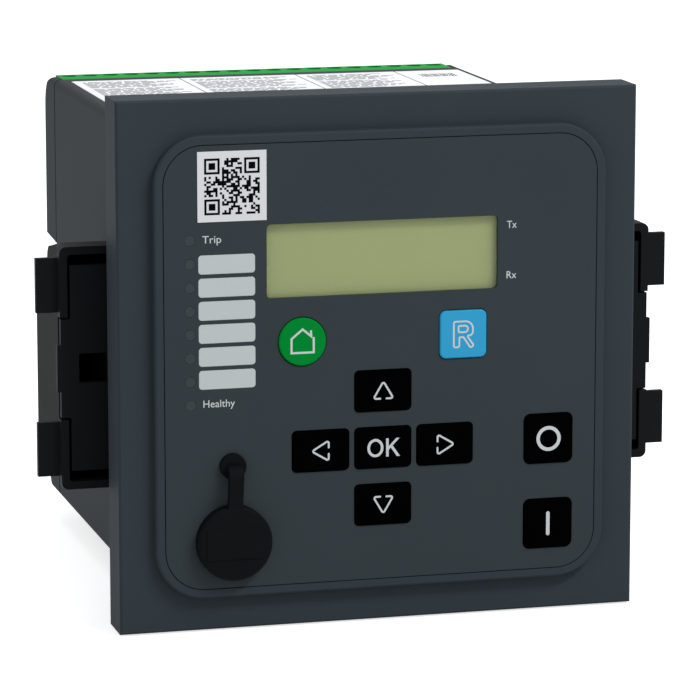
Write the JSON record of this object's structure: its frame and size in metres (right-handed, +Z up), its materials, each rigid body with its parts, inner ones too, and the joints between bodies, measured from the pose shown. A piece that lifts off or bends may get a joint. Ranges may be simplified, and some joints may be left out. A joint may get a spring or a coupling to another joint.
{
  "type": "protection relay",
  "caption": "Flush-mounted protection relay: square keypad front with display and capped service socket, deep case, rear terminals and sliding panel clips.",
  "frame": {"origin": "centre of the panel plane, at the back of the front frame", "axes": "+Z up, +Y back through the panel, the keypad faces -Y, +X to the right seen from the front"},
  "size_m": [0.1882, 0.1868, 0.152],
  "materials": {
    "frame_plastic": "fine moulded grain",
    "plate_plastic": "fine moulded grain",
    "clear_window": "clear and glossy",
    "display_glass": "reflective display film",
    "lens_plastic": "smoked light guide",
    "field_plastic": "writable matt insert",
    "label_film": "white polyester label",
    "key_black": "satin key cap",
    "key_green": "satin key cap",
    "key_blue": "satin key cap",
    "silicone": "matt moulded",
    "circuit_board": "solder-resist lacquer",
    "spacer_brass": "turned",
    "zinc_steel": "zinc plated",
    "socket_plastic": "moulded",
    "cap_rubber": "matt moulded",
    "connector_plastic": "moulded",
    "case_plastic": "fine moulded grain",
    "relay_plastic": "moulded",
    "terminal_plastic": "moulded",
    "winding": "varnished winding",
    "core_steel": "varnished laminations",
    "block_plastic": "fine moulded grain",
    "yellow_steel": "yellow passivated",
    "clip_plastic": "fine moulded grain"
  },
  "bodies": {
    "housing": {"bezel": "frame_plastic", "front_overlay": "plate_plastic", "lcd_window": "clear_window", "lcd_panel": "display_glass", "indicator_lenses": "lens_plastic", "marking_fields": "field_plastic", "code_label": "label_film", "top_label": "label_film", "keypad_mat": "silicone", "display_board": "circuit_board", "processor_board": "circuit_board", "io_board": "circuit_board", "current_board": "circuit_board", "board_spacers": "spacer_brass", "board_screws": "zinc_steel", "cover_screws": "zinc_steel", "terminal_screws": "zinc_steel", "socket_shell": "zinc_steel", "socket_insert": "socket_plastic", "cap_anchor": "cap_rubber", "panel_gasket": "cap_rubber", "board_connectors": "connector_plastic", "case": "case_plastic", "rear_cover": "case_plastic", "output_relays": "relay_plastic", "terminal_plug": "terminal_plastic", "terminal_header": "terminal_plastic", "current_transformers": "winding", "supply_transformer": "core_steel", "current_block": "block_plastic", "current_screws": "yellow_steel", "earth_screw": "yellow_steel"},
    "key_up": {"key_up": "key_black"},
    "key_down": {"key_down": "key_black"},
    "key_left": {"key_left": "key_black"},
    "key_right": {"key_right": "key_black"},
    "key_ok": {"key_ok": "key_black"},
    "key_home": {"key_home": "key_green"},
    "key_reset": {"key_reset": "key_blue"},
    "key_open": {"key_open": "key_black"},
    "key_close": {"key_close": "key_black"},
    "socket_cap": {"socket_cap": "cap_rubber"},
    "clip_left": {"clip_left": "clip_plastic"},
    "clip_right": {"clip_right": "clip_plastic"}
  },
  "joints": [
    {"name": "key_up_press", "type": "slide", "parent": "housing", "child": "key_up", "axis": [0, 1, 0], "range_m": [0, 0.0008], "stiffness_N_per_m": 1500},
    {"name": "key_down_press", "type": "slide", "parent": "housing", "child": "key_down", "axis": [0, 1, 0], "range_m": [0, 0.0008], "stiffness_N_per_m": 1500},
    {"name": "key_left_press", "type": "slide", "parent": "housing", "child": "key_left", "axis": [0, 1, 0], "range_m": [0, 0.0008], "stiffness_N_per_m": 1500},
    {"name": "key_right_press", "type": "slide", "parent": "housing", "child": "key_right", "axis": [0, 1, 0], "range_m": [0, 0.0008], "stiffness_N_per_m": 1500},
    {"name": "key_ok_press", "type": "slide", "parent": "housing", "child": "key_ok", "axis": [0, 1, 0], "range_m": [0, 0.0008], "stiffness_N_per_m": 1500},
    {"name": "key_home_press", "type": "slide", "parent": "housing", "child": "key_home", "axis": [0, 1, 0], "range_m": [0, 0.0008], "stiffness_N_per_m": 1500},
    {"name": "key_reset_press", "type": "slide", "parent": "housing", "child": "key_reset", "axis": [0, 1, 0], "range_m": [0, 0.0008], "stiffness_N_per_m": 1500},
    {"name": "key_open_press", "type": "slide", "parent": "housing", "child": "key_open", "axis": [0, 1, 0], "range_m": [0, 0.0008], "stiffness_N_per_m": 1500},
    {"name": "key_close_press", "type": "slide", "parent": "housing", "child": "key_close", "axis": [0, 1, 0], "range_m": [0, 0.0008], "stiffness_N_per_m": 1500},
    {"name": "cap_hinge", "type": "hinge", "parent": "housing", "child": "socket_cap", "pos_m": [-0.044, -0.0199, -0.028], "axis": [-1, 0, 0], "range_deg": [0, 100], "stiffness_Nm_per_rad": 0.002},
    {"name": "clip_left_slide", "type": "slide", "parent": "housing", "child": "clip_left", "axis": [0, 1, 0], "range_m": [-0.007, 0.06]},
    {"name": "clip_right_slide", "type": "slide", "parent": "housing", "child": "clip_right", "axis": [0, 1, 0], "range_m": [-0.007, 0.06]}
  ]
}
